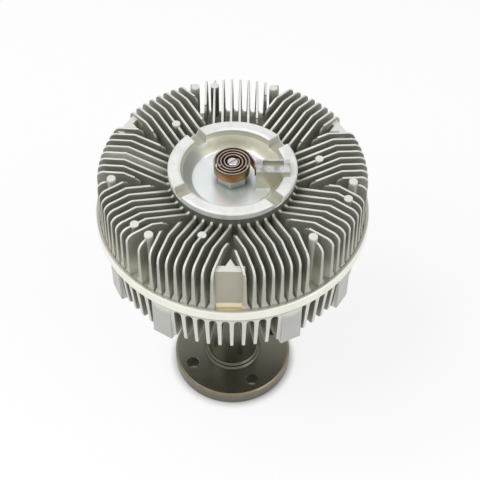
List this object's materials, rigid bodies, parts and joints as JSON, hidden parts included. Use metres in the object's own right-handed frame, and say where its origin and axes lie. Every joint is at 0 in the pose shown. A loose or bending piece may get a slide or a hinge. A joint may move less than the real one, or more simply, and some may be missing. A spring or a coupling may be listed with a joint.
{
  "type": "viscous fan clutch",
  "caption": "Finned aluminium fluid coupling on a flanged drive shaft, with a bimetal coil in its front dish that turns the fluid valve",
  "frame": {"origin": "centre of the shaft flange's mounting face, on the axis of rotation", "axes": "+Z along the axis of rotation from the flange to the coil, +X towards the coil's anchor block"},
  "size_m": [0.206, 0.206, 0.2465],
  "materials": {
    "shaft_steel": "dark phosphated steel with a semi-gloss turned face",
    "bearing_steel": "ground bearing steel",
    "cage_brass": "machined brass",
    "spring_steel": "dark spring steel",
    "rotor_aluminium": "turned aluminium",
    "body_casting": "as-cast aluminium with a bright turned band",
    "cover_casting": "as-cast aluminium with pale fin crests",
    "seal_rubber": "matt black rubber",
    "plate_steel": "yellow-passivated pressed steel",
    "bush_zinc": "grey-green zinc plate",
    "spindle_steel": "bright ground steel",
    "bimetal_strip": "heat-tinted bimetal strip with greyer cut edges"
  },
  "bodies": {
    "drive": {"drive_shaft": "shaft_steel", "bearing_inner_race": "bearing_steel", "rotor": "rotor_aluminium", "rotor_circlip": "spring_steel"},
    "housing": {"bearing_outer_race": "bearing_steel", "bearing_shield_rear": "bearing_steel", "bearing_shield_front": "bearing_steel", "bearing_circlip": "spring_steel", "rear_body": "body_casting", "front_cover": "cover_casting", "housing_seal": "seal_rubber", "partition_plate": "plate_steel", "plate_screws": "spring_steel", "spindle_bush": "bush_zinc", "spindle_seal": "seal_rubber", "bimetal_coil": "bimetal_strip"},
    "balls": {"bearing_balls": "bearing_steel", "bearing_cage_rear": "cage_brass", "bearing_cage_front": "cage_brass"},
    "valve": {"valve_spindle": "spindle_steel", "valve_arm": "plate_steel", "spindle_circlip": "spring_steel"}
  },
  "joints": [
    {"name": "housing_spin", "type": "hinge", "parent": "drive", "child": "housing", "pos_m": [0, 0, 0.17], "axis": [0, 0, 1], "continuous": true},
    {"name": "cage_spin", "type": "hinge", "parent": "drive", "child": "balls", "pos_m": [0, 0, 0.1615], "axis": [0, 0, 1], "continuous": true},
    {"name": "valve_turn", "type": "hinge", "parent": "housing", "child": "valve", "pos_m": [0, 0, 0.22], "axis": [0, 0, 1], "range_deg": [0, 50], "deforming": ["bimetal_coil"]}
  ],
  "couplings": [
    {"joint": "cage_spin", "follows": "housing_spin", "ratio": 0.5935}
  ]
}
